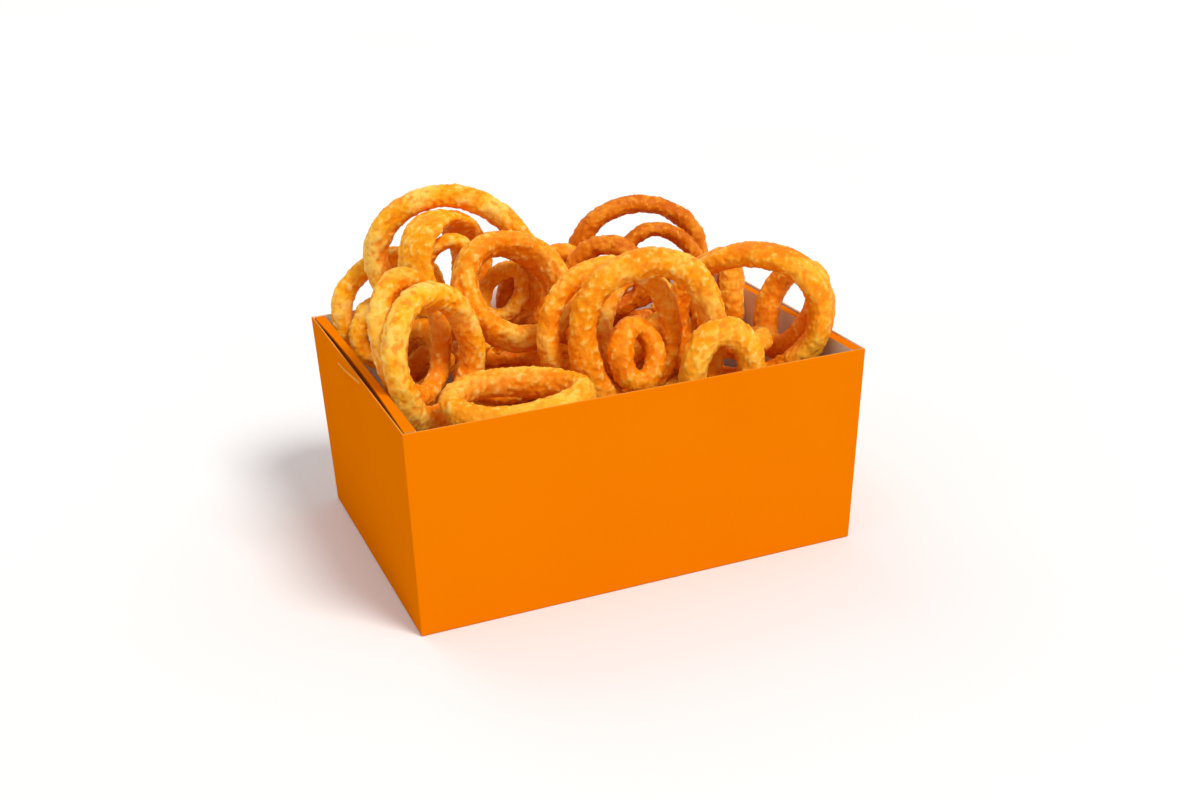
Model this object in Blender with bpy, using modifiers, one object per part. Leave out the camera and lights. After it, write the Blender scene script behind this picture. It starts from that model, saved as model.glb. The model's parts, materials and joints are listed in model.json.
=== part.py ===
"""An open-topped paperboard carton heaped with battered onion rings.

The frame has +Z up and its origin under the middle of the carton's base.
The carton's long front panel faces -Y. Sizes below are in millimetres and
degrees, and MM turns them into metres as the meshes are made.
"""

import math
from collections import namedtuple

import bmesh
import bpy
import numpy as np
from mathutils.bvhtree import BVHTree

MM = 0.001

# Clear space kept between neighbouring pieces
CLEARANCE = 0.35

# Carton
CARTON_LENGTH = 200.0
CARTON_DEPTH = 155.0
CARTON_HEIGHT = 90.0
END_TAPER = 2.0
SIDE_TAPER = 6.0
BOARD = 0.9

# Folded double wall inside each end of the carton
FOLD_LEDGE = 4.2
FOLD_DROP = 0.4
FOLD_BOW = 1.6
FOLD_BOW_STEPS = 10

# Heap of rings that fills the carton under the ones that stand out of it
CORE_TOP_FRONT = 40.0
CORE_TOP_BACK = 44.0
CORE_BUMP = 2.5
CORE_RIPPLE_X = 13.0
CORE_RIPPLE_Y = 11.0
CORE_CUTS = 9
CORE_MARGIN = 1.2
BED_COLUMNS = 4
BED_ROWS = 3
BED_SIZE = 62.0
BED_SIZE_SPREAD = 8.0
BED_STRAND = 12.0
BED_OVAL = (4.0, 12.0)
BED_JITTER = 3.0
BED_END_MARGIN = 5.0
BED_SIDE_MARGIN = 7.0
BED_SINK = 3.5
BED_TILT = 4.0
BED_SEED = 11

# Ring meshes
RING_STATIONS = 20
RING_SIDES = 7
BED_STATIONS = 14
BED_SIDES = 6
OVAL_WOBBLE = 0.045
THICKNESS_SWELL = 0.10
LUMP = 0.035
TORUS_MINOR = 0.25

# Edges shorter than this are closed up where the lying rings meet
SMALLEST_EDGE = 0.02

# Finding a clear place for each ring near its given one: how far it may go along
# the viewer's line of sight, to the right, up, round, over, and how much smaller
# it may be, with the cost of going so far in each. No ring reaches below the
# lowest height or comes nearer the viewer than a few millimetres, and its long
# edges are tested at shares of their length too.
VIEWER = (-223.0, -585.0, 309.0)
TRIES = 2500
TRY_RANGE = (45.0, 12.0, 12.0, 40.0, 30.0, 0.2)
TRY_COST = (1.5, 4.0, 4.0, 2.0, 2.0, 2.0)
NEARER = 9.0
LOWEST_RING = 58.0
EDGE_SHARES = (0.0, 0.2, 0.4, 0.6, 0.8)

# Rings that lie between the others, tried at drawn places, the largest sizes first
BETWEEN_COUNT = 8
BETWEEN_TRIES = 9000
BETWEEN_SIZE = (58.0, 32.0)
BETWEEN_OVAL = (0.75, 0.95)
BETWEEN_STRAND = (10.0, 12.5)
BETWEEN_LOW = (-80.0, -62.0, 65.0)
BETWEEN_HIGH = (80.0, 62.0, 90.0)
BETWEEN_LEAN = (25.0, 90.0)
BETWEEN_SEED = 5

# Colours are linear red, green, blue
BOARD_ORANGE = (0.86, 0.21, 0.0)
BATTER_GOLD = (0.80, 0.34, 0.05)
BATTER_BROWN = (0.62, 0.20, 0.02)

# A ring has its centre, the compass turn and upward lean of its axis, the turn of
# its long way in its own plane, its outer sizes both ways, the thickness of its
# strand seen along the axis, the depth of its band along the axis, how far it is
# bent out of flat, and the seed of its unevenness.
Ring = namedtuple("Ring", "name centre facing lean spin long short strand depth bend seed")

RINGS = (
    Ring("ring_front_lying", (-45, -50, 84), 0, 80, -8, 66, 44, 13, 14, 1.0, 10),
    Ring("ring_front_small", (39, -65, 83), -8, 2, 87, 53, 41, 13, 12, 1.0, 17),
    Ring("ring_centre_big", (16, -43, 98), -16, 5, -86, 80, 71, 14, 13, 1.0, 13),
    Ring("ring_front_left", (-75, -30, 100), 30, 5, -80, 66, 62, 12, 13, 1.0, 8),
    Ring("ring_centre_left", (-29, -2, 113), 4, 36, -50, 62, 54, 12, 22, 1.0, 11),
    Ring("ring_right_big", (68, -33, 94), -36, 4, 24, 82, 67, 12, 19, 1.0, 18),
    Ring("ring_back_left_tall", (-40, 42, 116), -22, 5, -24, 85, 73, 12, 12, 1.0, 3),
    Ring("ring_centre_left_behind", (-12, 32, 102), -40, 24, 80, 44, 32, 12, 19, 1.0, 31),
    Ring("ring_back_arch", (56, 60, 98), -8, 6, -6, 74, 68, 10, 10, 1.0, 21),
    Ring("ring_far_left", (-71, 62, 94), -2, 4, 58, 62, 56, 11, 10, 1.0, 6),
    Ring("ring_centre_second", (5, -28, 94), -12, 3, -89, 74, 66, 11, 10, 1.0, 14),
    Ring("ring_centre_curl", (17, -34, 86), 12, 35, 75, 39, 30, 11, 11, 1.0, 16),
    Ring("ring_front_left_behind", (-78, -12, 102), 30, 5, -80, 66, 58, 11, 10, 1.0, 9),
    Ring("ring_right_outer", (82, -50, 99), -76, 20, 90, 52, 42, 12, 11, 1.0, 19),
    Ring("ring_back_left_band", (-46, 44, 115), 38, 6, 80, 54, 50, 8, 24, 0.5, 4),
    Ring("ring_centre_hooked", (2, 28, 103), -20, 12, 87, 52, 46, 10, 10, 1.0, 12),
    Ring("ring_centre_band", (26, -14, 90), 4, 20, 80, 56, 50, 9, 11, 0.5, 15),
    Ring("ring_back_arch_inner", (61, 46, 92), -14, 6, 89, 56, 50, 8, 9, 1.0, 22),
    Ring("ring_back_left_shell", (-50, 16, 126), -24, 6, 80, 34, 28, 7, 8, 0.5, 5),
    Ring("ring_far_left_inner", (-74, 48, 88), -6, 0, 62, 46, 40, 9, 9, 1.0, 7),
    Ring("ring_right_edge_on", (84, 12, 88), 62, 0, 80, 48, 42, 10, 12, 0.5, 20),
    Ring("ring_right_edge_on_near", (70, 14, 82), 62, 0, 80, 44, 40, 10, 11, 0.5, 27),
    Ring("ring_middle_lying", (-36, -6, 79), 8, 74, -19, 48, 38, 10, 10, 1.0, 24),
    Ring("ring_left_low", (-68, 10, 84), -55, 10, 80, 40, 36, 9, 9, 1.0, 23),
    Ring("ring_back_middle", (32, 40, 99), -20, 12, -3, 44, 40, 10, 10, 1.0, 29),
)


def clear_scene():
    """Remove whatever the file holds."""
    for item in list(bpy.data.objects):
        bpy.data.objects.remove(item, do_unlink=True)


def new_collection(name):
    """Return a new collection linked to the scene."""
    collection = bpy.data.collections.new(name)
    bpy.context.scene.collection.children.link(collection)
    return collection


def new_material(name, colour, roughness):
    """Return a plain matt material."""
    material = bpy.data.materials.new(name)
    material.use_nodes = True
    shader = material.node_tree.nodes["Principled BSDF"]
    shader.inputs["Base Color"].default_value = (*colour, 1.0)
    shader.inputs["Roughness"].default_value = roughness
    shader.inputs["Metallic"].default_value = 0.0
    return material


def object_from_bmesh(name, shape, collection, material):
    """Put a finished bmesh in the scene as a named object."""
    mesh = bpy.data.meshes.new(name)
    shape.to_mesh(mesh)
    shape.free()
    item = bpy.data.objects.new(name, mesh)
    collection.objects.link(item)
    item.data.materials.append(material)
    return item


def unit_vector(facing, lean):
    """Return the direction at a compass turn from the front and an upward lean."""
    turn, rise = math.radians(facing), math.radians(lean)
    return np.array([math.sin(turn) * math.cos(rise), -math.cos(turn) * math.cos(rise), math.sin(rise)])


def ring_axes(ring):
    """Return a ring's axis and the directions of its long and short ways."""
    axis = unit_vector(ring.facing, ring.lean)
    level = np.array([math.cos(math.radians(ring.facing)), math.sin(math.radians(ring.facing)), 0.0])
    upright = np.cross(axis, level)
    spin = math.radians(ring.spin)
    long_way = level * math.cos(spin) + upright * math.sin(spin)
    short_way = -level * math.sin(spin) + upright * math.cos(spin)
    return axis, long_way, short_way


def ring_frame(ring, angles):
    """Return points on a ring's centre line, with their outward and sideways directions.

    Each ring is an oval whose radius wobbles and whose plane is slightly bent.
    """
    draw = np.random.RandomState(ring.seed)
    axis, long_way, short_way = ring_axes(ring)
    wobble = np.ones_like(angles)
    slope = np.zeros_like(angles)
    for waves in (2, 3, 4):
        height = OVAL_WOBBLE * draw.uniform(-1.0, 1.0) * 2.0 / waves
        start = draw.uniform(0.0, 2.0 * math.pi)
        wobble += height * np.cos(waves * angles + start)
        slope -= height * waves * np.sin(waves * angles + start)
    bend_start = draw.uniform(0.0, 2.0 * math.pi)
    long_radius = (ring.long - ring.strand) / 2.0
    short_radius = (ring.short - ring.strand) / 2.0
    bend = ring.bend * np.cos(2.0 * angles + bend_start)
    bend_slope = -2.0 * ring.bend * np.sin(2.0 * angles + bend_start)
    points = (np.array(ring.centre, dtype=float)
              + np.outer(long_radius * np.cos(angles) * wobble, long_way)
              + np.outer(short_radius * np.sin(angles) * wobble, short_way)
              + np.outer(bend, axis))
    along = (np.outer(long_radius * (np.cos(angles) * slope - np.sin(angles) * wobble), long_way)
             + np.outer(short_radius * (np.sin(angles) * slope + np.cos(angles) * wobble), short_way)
             + np.outer(bend_slope, axis))
    along /= np.linalg.norm(along, axis=1)[:, None]
    outward = np.cross(along, axis)
    outward /= np.linalg.norm(outward, axis=1)[:, None]
    sideways = np.cross(outward, along)
    return points, outward, sideways


def ring_swell(ring, angles):
    """Return how much thicker than its mean size the strand is at each angle."""
    draw = np.random.RandomState(ring.seed + 500)
    swell = np.ones_like(angles)
    for waves in (1, 2, 5):
        height = THICKNESS_SWELL * draw.uniform(0.3, 1.0) / math.sqrt(waves)
        swell += height * np.cos(waves * angles + draw.uniform(0.0, 2.0 * math.pi))
    return swell


def ring_skin(ring, angles, turns):
    """Return the skin point for each pair of an angle round the ring and a turn round its strand."""
    points, outward, sideways = ring_frame(ring, angles)
    swell = ring_swell(ring, angles)
    across = swell * ring.strand / 2.0 * np.cos(turns)
    along = swell * ring.depth / 2.0 * np.sin(turns)
    return points + outward * across[:, None] + sideways * along[:, None]


def ring_bmesh(ring, stations, sides):
    """Return a torus reshaped into one uneven ring."""
    shape = bmesh.new()
    bpy.ops.mesh.primitive_torus_add(major_segments=stations, minor_segments=sides,
                                     major_radius=1.0, minor_radius=TORUS_MINOR)
    torus = bpy.context.object
    shape.from_mesh(torus.data)
    torus_mesh = torus.data
    bpy.data.objects.remove(torus, do_unlink=True)
    bpy.data.meshes.remove(torus_mesh)
    places = np.array([vertex.co[:] for vertex in shape.verts])
    angles = np.arctan2(places[:, 1], places[:, 0])
    turns = np.arctan2(places[:, 2], np.hypot(places[:, 0], places[:, 1]) - 1.0)
    skin = ring_skin(ring, angles, turns)
    centre_line, _, _ = ring_frame(ring, angles)
    draw = np.random.RandomState(ring.seed + 900)
    lump = 1.0 + LUMP * draw.uniform(-1.0, 0.0, len(skin))
    skin = centre_line + (skin - centre_line) * lump[:, None]
    for vertex, place in zip(shape.verts, skin * MM):
        vertex.co = place
    bmesh.ops.recalc_face_normals(shape, faces=shape.faces)
    if shape.calc_volume(signed=True) < 0.0:
        bmesh.ops.reverse_faces(shape, faces=shape.faces)
    for face in shape.faces:
        face.smooth = True
    return shape


def core_top(x, y):
    """Return the height of the heap's smooth top at a place in the carton."""
    share = (y + CARTON_DEPTH / 2.0) / CARTON_DEPTH
    rise = math.sin(0.5 * math.pi * min(max(share, 0.0), 1.0))
    ripple = math.sin(x / CORE_RIPPLE_X + 1.0) * math.cos(y / CORE_RIPPLE_Y)
    return CORE_TOP_FRONT + (CORE_TOP_BACK - CORE_TOP_FRONT) * rise + CORE_BUMP * ripple


def bed_rings():
    """Return the lying rings that show on top of the heap, spread over it in rows."""
    draw = np.random.RandomState(BED_SEED)
    half_length = CARTON_LENGTH / 2.0 - BOARD - FOLD_LEDGE - BED_SIZE / 2.0 - BED_END_MARGIN
    half_depth = CARTON_DEPTH / 2.0 - BOARD - BED_SIZE / 2.0 - BED_SIDE_MARGIN
    rings = []
    for row in range(BED_ROWS):
        for column in range(BED_COLUMNS):
            x = half_length * (2.0 * column / (BED_COLUMNS - 1) - 1.0)
            y = half_depth * (2.0 * row / (BED_ROWS - 1) - 1.0)
            x += draw.uniform(-BED_JITTER, BED_JITTER)
            y += draw.uniform(-BED_JITTER, BED_JITTER)
            size = BED_SIZE - draw.uniform(0.0, BED_SIZE_SPREAD)
            height = core_top(x, y) + BED_STRAND / 2.0 - BED_SINK
            rings.append(Ring(f"bed_{row}_{column}", (x, y, height), draw.uniform(0.0, 360.0),
                              90.0 - draw.uniform(0.0, BED_TILT), draw.uniform(0.0, 90.0),
                              size, size - draw.uniform(*BED_OVAL), BED_STRAND, BED_STRAND,
                              1.0, int(draw.randint(1000))))
    return rings


def inner_half_length(height):
    """Return the free half length between the folded ends at a height."""
    taper = END_TAPER * (1.0 - np.clip(height / CARTON_HEIGHT, 0.0, 1.0))
    return CARTON_LENGTH / 2.0 - taper - 1.5 * BOARD - FOLD_LEDGE - 2.0 * CLEARANCE


def inner_half_depth(height):
    """Return the free half depth between the long panels at a height."""
    taper = SIDE_TAPER * (1.0 - np.clip(height / CARTON_HEIGHT, 0.0, 1.0))
    return CARTON_DEPTH / 2.0 - taper - BOARD - 2.0 * CLEARANCE


class PlacedRing:
    """A ring's skin, swollen by the clearance, for finding where it would touch another."""

    def __init__(self, ring):
        swollen = ring._replace(strand=ring.strand + CLEARANCE, depth=ring.depth + CLEARANCE)
        self.ring = ring
        self.skin = ring_skin(swollen, SKIN_ANGLES, SKIN_TURNS)
        self.centre = np.array(ring.centre, dtype=float)
        self.reach = np.linalg.norm(self.skin - self.centre, axis=1).max()
        self.tree = None

    def touches(self, other):
        """Return whether the two skins cross."""
        if np.linalg.norm(self.centre - other.centre) > self.reach + other.reach:
            return False
        for item in (self, other):
            if item.tree is None:
                item.tree = BVHTree.FromPolygons(item.skin.tolist(), SKIN_FACES)
        return bool(self.tree.overlap(other.tree))

    def fits_carton(self):
        """Return whether the part below the rim is between the walls and above the floor."""
        around = self.skin.reshape(RING_STATIONS, RING_SIDES, 3)
        stretch = np.roll(around, -1, axis=0) - around
        points = np.concatenate([around + stretch * share for share in EDGE_SHARES]).reshape(-1, 3)
        low = points[:, 2] < CARTON_HEIGHT + CLEARANCE
        if not low.any():
            return True
        x, y, height = points[low].T
        return bool((np.abs(x) < inner_half_length(height)).all()
                    and (np.abs(y) < inner_half_depth(height)).all()
                    and height.min() > LOWEST_RING)


def skin_grid():
    """Return a ring skin's angles, turns and four-sided faces, station by station."""
    angles = np.repeat(np.arange(RING_STATIONS), RING_SIDES) * 2.0 * math.pi / RING_STATIONS
    turns = np.tile(np.arange(RING_SIDES), RING_STATIONS) * 2.0 * math.pi / RING_SIDES
    faces = []
    for station in range(RING_STATIONS):
        after = (station + 1) % RING_STATIONS
        for side in range(RING_SIDES):
            beside = (side + 1) % RING_SIDES
            faces.append((station * RING_SIDES + side, station * RING_SIDES + beside,
                          after * RING_SIDES + beside, after * RING_SIDES + side))
    return angles, turns, faces


SKIN_ANGLES, SKIN_TURNS, SKIN_FACES = skin_grid()


def nearby_places(ring):
    """Return places near a ring's own, the least changed first.

    Moving along the viewer's line of sight costs least, because the ring then
    keeps its place in the view. Moves across the view, turns and a smaller
    size cost more.
    """
    draw = np.random.RandomState(ring.seed + 70)
    steps = draw.uniform(-1.0, 1.0, (TRIES, 6))
    steps *= draw.uniform(0.0, 1.0, (TRIES, 1))
    steps[0] = 0.0
    order = np.argsort((steps ** 2 * TRY_COST).sum(axis=1), kind="stable")
    centre = np.array(ring.centre, dtype=float)
    away = centre - np.array(VIEWER)
    away /= np.linalg.norm(away)
    aside = np.cross(away, (0.0, 0.0, 1.0))
    aside /= np.linalg.norm(aside)
    above = np.cross(aside, away)
    for back, right, up, turn, tip, shrink in steps[order] * TRY_RANGE:
        size = 1.0 - abs(shrink)
        moved = centre + away * max(back, -NEARER) + aside * right + above * up
        yield ring._replace(centre=tuple(moved), facing=ring.facing + turn, lean=ring.lean + tip,
                            long=ring.long * size, short=ring.short * size)


def settle(rings):
    """Place the rings in their given order, each as near to its given place as is clear."""
    placed = []
    for ring in rings:
        for nearby in nearby_places(ring):
            item = PlacedRing(nearby)
            if item.fits_carton() and not any(item.touches(other) for other in placed):
                placed.append(item)
                break
        else:
            raise ValueError(f"no clear place for {ring.name}")
    return placed


def fill_between(placed):
    """Add rings in the gaps between the placed ones, the largest that fit first."""
    draw = np.random.RandomState(BETWEEN_SEED)
    count = 0
    for size in np.linspace(*BETWEEN_SIZE, BETWEEN_TRIES):
        centre = draw.uniform(BETWEEN_LOW, BETWEEN_HIGH)
        facing = draw.uniform(0.0, 360.0)
        lean = draw.uniform(*BETWEEN_LEAN)
        spin = draw.uniform(0.0, 180.0)
        short = size * draw.uniform(*BETWEEN_OVAL)
        strand = draw.uniform(*BETWEEN_STRAND)
        ring = Ring(f"ring_between_{count + 1}", tuple(centre), facing, lean, spin, size, short,
                    strand, strand, 1.0, BETWEEN_SEED * 100 + count)
        item = PlacedRing(ring)
        if item.fits_carton() and not any(item.touches(other) for other in placed):
            placed.append(item)
            count += 1
        if count == BETWEEN_COUNT:
            break
    return placed


def make_carton(collection, material):
    """Make the tapered open carton as a bent sheet of board."""
    shape = bmesh.new()
    bmesh.ops.create_cube(shape, size=1.0)
    lid = [face for face in shape.faces if face.normal.z > 0.5]
    bmesh.ops.delete(shape, geom=lid, context="FACES_ONLY")
    for vertex in shape.verts:
        taper = vertex.co.z < 0.0
        half_length = CARTON_LENGTH / 2.0 - END_TAPER * taper
        half_depth = CARTON_DEPTH / 2.0 - SIDE_TAPER * taper
        vertex.co.x = math.copysign(half_length, vertex.co.x) * MM
        vertex.co.y = math.copysign(half_depth, vertex.co.y) * MM
        vertex.co.z = 0.0 if taper else CARTON_HEIGHT * MM
    carton = object_from_bmesh("carton", shape, collection, material)
    wall = carton.modifiers.new("board thickness", "SOLIDIFY")
    wall.thickness = BOARD * MM
    wall.offset = -1.0
    wall.use_even_offset = True
    return carton


def make_end_fold(name, side, collection, material):
    """Make the folded inner wall of one end, whose top ledge bows away from the outer panel.

    side is -1 for the left end and +1 for the right.
    """
    top = CARTON_HEIGHT - FOLD_DROP
    foot = BOARD + CLEARANCE
    half_depth = CARTON_DEPTH / 2.0 - SIDE_TAPER - BOARD - 2.0 * CLEARANCE
    half_top = CARTON_DEPTH / 2.0 - BOARD - 2.0 * CLEARANCE
    outer = CARTON_LENGTH / 2.0 - BOARD - CLEARANCE
    shape = bmesh.new()
    rows = []
    for step in range(FOLD_BOW_STEPS + 1):
        share = 2.0 * step / FOLD_BOW_STEPS - 1.0
        bow = FOLD_BOW * (1.0 - share * share)
        outline = ((outer - bow, share * half_top, top),
                   (outer - FOLD_LEDGE, share * half_top, top),
                   (outer - FOLD_LEDGE - END_TAPER, share * half_depth, foot))
        rows.append([shape.verts.new((side * x * MM, y * MM, z * MM)) for x, y, z in outline])
    for before, after in zip(rows, rows[1:]):
        for edge in range(len(before) - 1):
            shape.faces.new((before[edge], before[edge + 1], after[edge + 1], after[edge]))
    bmesh.ops.recalc_face_normals(shape, faces=shape.faces)
    fold = object_from_bmesh(name, shape, collection, material)
    wall = fold.modifiers.new("board thickness", "SOLIDIFY")
    wall.thickness = BOARD * MM
    wall.offset = 0.0
    wall.use_even_offset = True
    return fold


def make_ring(ring, collection, material):
    """Make one ring as its own object."""
    shape = ring_bmesh(ring, RING_STATIONS, RING_SIDES)
    return object_from_bmesh(ring.name, shape, collection, material)


def keep_outer_skin(item):
    """Keep only the largest closed skin of a mesh, so that sealed hollows are filled.

    Faces folded flat on each other go first, because they would join two skins.
    """
    shape = bmesh.new()
    shape.from_mesh(item.data)
    bmesh.ops.dissolve_degenerate(shape, dist=SMALLEST_EDGE * MM, edges=shape.edges)
    bmesh.ops.triangulate(shape, faces=shape.faces)
    doubled = {}
    for face in shape.faces:
        doubled.setdefault(frozenset(face.verts), []).append(face)
    folded = [face for faces in doubled.values() if len(faces) > 1 for face in faces]
    bmesh.ops.delete(shape, geom=folded, context="FACES")
    waiting = set(shape.faces)
    skins = []
    while waiting:
        reached = [waiting.pop()]
        for face in reached:
            for edge in face.edges:
                for other in edge.link_faces:
                    if other in waiting:
                        waiting.remove(other)
                        reached.append(other)
        skins.append(reached)
    skins.sort(key=len)
    scraps = [face for skin in skins[:-1] for face in skin]
    bmesh.ops.delete(shape, geom=scraps, context="FACES")
    shape.to_mesh(item.data)
    shape.free()


def make_heap(bed, collection, helpers, material):
    """Make the heap under the standing rings: an uneven core joined with lying rings."""
    shape = bmesh.new()
    bmesh.ops.create_cube(shape, size=1.0)
    roof = [edge for edge in shape.edges if all(vertex.co.z > 0.0 for vertex in edge.verts)]
    bmesh.ops.subdivide_edges(shape, edges=roof, cuts=CORE_CUTS, use_grid_fill=True)
    foot = BOARD + CLEARANCE
    for vertex in shape.verts:
        top = vertex.co.z > 0.0
        height = CORE_TOP_FRONT if top else foot
        half_length = inner_half_length(height) - CORE_MARGIN
        half_depth = inner_half_depth(height) - CORE_MARGIN
        x = 2.0 * vertex.co.x * half_length
        y = 2.0 * vertex.co.y * half_depth
        vertex.co = (x * MM, y * MM, (core_top(x, y) if top else foot) * MM)
    bmesh.ops.triangulate(shape, faces=shape.faces)
    heap = object_from_bmesh("rings_below", shape, collection, material)
    for ring in bed:
        piece = ring_bmesh(ring, BED_STATIONS, BED_SIDES)
        object_from_bmesh(ring.name, piece, helpers, material)
    union = heap.modifiers.new("lying rings", "BOOLEAN")
    union.operation = "UNION"
    union.solver = "MANIFOLD"
    union.operand_type = "COLLECTION"
    union.collection = helpers
    bpy.context.view_layer.objects.active = heap
    bpy.ops.object.modifier_apply(modifier=union.name)
    for item in list(helpers.objects):
        bpy.data.objects.remove(item, do_unlink=True)
    keep_outer_skin(heap)
    return heap


def build():
    """Build the carton, the heap in it and the rings on top."""
    clear_scene()
    collection = new_collection("onion_rings_carton")
    helpers = new_collection("lying_rings")
    board = new_material("orange_board", BOARD_ORANGE, 0.6)
    gold = new_material("fried_batter", BATTER_GOLD, 0.55)
    brown = new_material("shaded_batter", BATTER_BROWN, 0.6)
    bed = bed_rings()
    make_carton(collection, board)
    make_end_fold("end_fold_left", -1.0, collection, board)
    make_end_fold("end_fold_right", 1.0, collection, board)
    make_heap(bed, collection, helpers, brown)
    for item in fill_between(settle(RINGS)):
        make_ring(item.ring, collection, gold)
    bpy.data.collections.remove(helpers)


build()
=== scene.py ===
"""The looks of an open paperboard carton heaped with battered onion rings.

The frame gives every ring, the folded ends and the carton their places. This script
gives the rings their bumpy fried batter, fills the carton under them with real rings
over a core, and finishes the board with its print, bare inside, cut edges and wear.
Sizes are in metres and angles in degrees, unless a name ends in _mm.
"""

import json
import logging
import math
from dataclasses import dataclass, field
from enum import Enum

import bpy
import numpy as np
from mathutils import Matrix, Vector

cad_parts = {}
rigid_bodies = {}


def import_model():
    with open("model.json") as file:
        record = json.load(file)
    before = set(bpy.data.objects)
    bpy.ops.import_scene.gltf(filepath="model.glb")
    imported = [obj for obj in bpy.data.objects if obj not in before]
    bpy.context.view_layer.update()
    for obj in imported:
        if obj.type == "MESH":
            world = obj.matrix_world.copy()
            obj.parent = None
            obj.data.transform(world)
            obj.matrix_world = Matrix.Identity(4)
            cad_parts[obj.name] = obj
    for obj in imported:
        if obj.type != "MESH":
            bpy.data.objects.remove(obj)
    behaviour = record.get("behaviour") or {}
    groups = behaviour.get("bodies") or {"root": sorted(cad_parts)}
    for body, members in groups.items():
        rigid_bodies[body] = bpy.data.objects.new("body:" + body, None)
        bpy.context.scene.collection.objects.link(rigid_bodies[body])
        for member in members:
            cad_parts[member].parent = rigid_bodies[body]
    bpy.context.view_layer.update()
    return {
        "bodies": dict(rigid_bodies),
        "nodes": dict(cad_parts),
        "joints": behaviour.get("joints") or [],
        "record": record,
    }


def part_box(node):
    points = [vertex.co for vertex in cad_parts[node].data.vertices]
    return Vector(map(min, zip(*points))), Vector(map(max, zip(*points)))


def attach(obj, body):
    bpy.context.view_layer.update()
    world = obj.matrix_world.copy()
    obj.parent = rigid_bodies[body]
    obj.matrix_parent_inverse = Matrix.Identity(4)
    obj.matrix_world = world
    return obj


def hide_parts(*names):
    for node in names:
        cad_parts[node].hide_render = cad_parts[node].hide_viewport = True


LOG = logging.getLogger("onion_rings")
MM = 0.001
BODY = "root"

# Vertices closer together than this are one
MERGE_DISTANCE = 1e-6
# Every so many points are enough to find a ring's axis
SAMPLE_STEP = 9
# How squarely a ring's skin faces its hole where the painted shade inside the ring is full
INNER_FULL = 0.9
# The painted shade in hollows and the painted highlights on bumps run over this many standard deviations of
# relief, up and down
RELIEF_SPREAD = 2.0
# Most of a noise pattern's values lie in this range
NOISE_RANGE = (0.3, 0.7)
# Where Blender's Mix node keeps its two colours and their mixture
MIX_BELOW, MIX_ABOVE, MIX_RESULT = 6, 7, 2

Colour = tuple[float, float, float]
Point = tuple[float, float, float]
PanelPoint = tuple[float, float]
Socket = bpy.types.NodeSocket


class Tone(Enum):
    """How far a ring was fried; the deep tone is also painted shade on the heap's core and on one ring seen
    through another's hole.
    """

    PALE = "pale"
    GOLDEN = "golden"
    AMBER = "amber"
    DEEP = "deep"


class BoardSide(Enum):
    """The sides of the paperboard that look different."""

    PRINTED = "printed"
    BARE = "bare"
    CUT = "cut"
    WORN = "worn"


def deselect_all() -> None:
    """Leave object mode with nothing selected."""
    if bpy.context.object is not None and bpy.context.object.mode != "OBJECT":
        bpy.ops.object.mode_set(mode="OBJECT")
    bpy.ops.object.select_all(action="DESELECT")


def activate(item: bpy.types.Object) -> None:
    """Select one object alone and make it the active one.

    Args:
        item: The object that the next operators work on.
    """
    deselect_all()
    item.select_set(True)
    bpy.context.view_layer.objects.active = item


def apply_modifiers(item: bpy.types.Object) -> None:
    """Apply every modifier of an object in order.

    Args:
        item: The object whose mesh takes its modifiers' shape.
    """
    activate(item)
    for modifier in list(item.modifiers):
        bpy.ops.object.modifier_apply(modifier=modifier.name)


def merged_copy(node: bpy.types.Object, name: str) -> bpy.types.Object:
    """Copy a frame node's mesh into a new object and close its loose triangles up.

    Args:
        node: The frame node to start from.
        name: The new object's name.

    Returns:
        The new object, with its own mesh and no material.
    """
    mesh = node.data.copy()
    mesh.name = name
    mesh.materials.clear()
    piece = bpy.data.objects.new(name, mesh)
    bpy.context.scene.collection.objects.link(piece)
    activate(piece)
    bpy.ops.object.mode_set(mode="EDIT")
    bpy.ops.mesh.select_all(action="SELECT")
    bpy.ops.mesh.remove_doubles(threshold=MERGE_DISTANCE)
    bpy.ops.mesh.normals_make_consistent(inside=False)
    bpy.ops.object.mode_set(mode="OBJECT")
    return piece


def vertex_places(item: bpy.types.Object) -> np.ndarray:
    """Return an object's vertex places as rows of an array.

    Args:
        item: A mesh object.

    Returns:
        One row of x, y and z for each vertex.
    """
    places = np.empty(len(item.data.vertices) * 3)
    item.data.vertices.foreach_get("co", places)
    return places.reshape(-1, 3)


def vertex_normals(item: bpy.types.Object) -> np.ndarray:
    """Return the way each vertex of an object faces.

    Args:
        item: A mesh object.

    Returns:
        One row of x, y and z for each vertex.
    """
    normals = np.empty(len(item.data.vertices) * 3)
    item.data.vertices.foreach_get("normal", normals)
    return normals.reshape(-1, 3)


def record_values(item: bpy.types.Object, name: str, values: np.ndarray) -> None:
    """Store a value at each vertex for the materials to read.

    Args:
        item: A mesh object.
        name: The attribute's name.
        values: One number for each vertex.
    """
    attribute = item.data.attributes.new(name, "FLOAT", "POINT")
    attribute.data.foreach_set("value", values)


def fade(value: np.ndarray, low: float, high: float) -> np.ndarray:
    """Return 0 below low, 1 above high, and a straight rise between.

    Args:
        value: The numbers to map.
        low: Where the rise starts.
        high: Where it ends.

    Returns:
        The mapped numbers.
    """
    return np.clip((value - low) / (high - low), 0.0, 1.0)


@dataclass(frozen=True)
class Blotches:
    """A noise pattern: its blotches' size, its finer layers, their strength and their warp."""

    size: float
    detail: float
    roughness: float
    distortion: float = 0.0


@dataclass(frozen=True)
class Blend:
    """How a value becomes a share of colour: none where it starts, the most where it ends."""

    start: float
    end: float
    most: float = 1.0


@dataclass(frozen=True)
class Bump:
    """A layer of fine relief in a finish: how much of it shows, and its full height."""

    strength: float
    height: float


# Batter just above the front rim is paler, by its height and by its place across the carton
RIM_HEIGHT = Blend(102 * MM, 86 * MM, 0.4)
RIM_DEPTH = Blend(-52 * MM, -68 * MM)


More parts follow.
